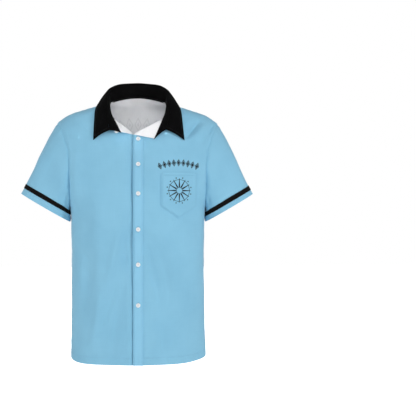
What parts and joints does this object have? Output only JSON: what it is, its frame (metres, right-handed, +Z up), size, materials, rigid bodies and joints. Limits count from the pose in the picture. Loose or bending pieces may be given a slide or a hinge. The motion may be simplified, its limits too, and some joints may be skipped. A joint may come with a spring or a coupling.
{
  "type": "bowling shirt",
  "caption": "Short-sleeved button-front bowling shirt in thin cloth, filled out and hollow, with an open spread collar, a pointed chest pocket and a stripe round each sleeve.",
  "frame": {"origin": "middle of the neck opening, level with the inner ends of the shoulder seams, where a neck or a hanger holds the shirt", "axes": "+Z up along the wearer's back, +X towards the wearer's left sleeve, -Y towards the front where the buttons are"},
  "size_m": [0.67, 0.266, 0.8106],
  "materials": {
    "body_cloth": "matte light-blue woven polyester, white on its inner face",
    "collar_cloth": "matte black woven polyester",
    "button": "satin white resin"
  },
  "bodies": {
    "root": {"back": "body_cloth", "left_front": "body_cloth", "right_front": "body_cloth", "placket": "body_cloth", "chest_pocket": "body_cloth", "sleeve_left": "body_cloth", "sleeve_right": "body_cloth", "collar_stand": "collar_cloth", "collar_leaf": "collar_cloth", "sleeve_band_left": "collar_cloth", "sleeve_band_right": "collar_cloth", "button_1": "button", "button_2": "button", "button_3": "button", "button_4": "button", "button_5": "button", "button_6": "button", "button_stand": "button"}
  },
  "joints": []
}
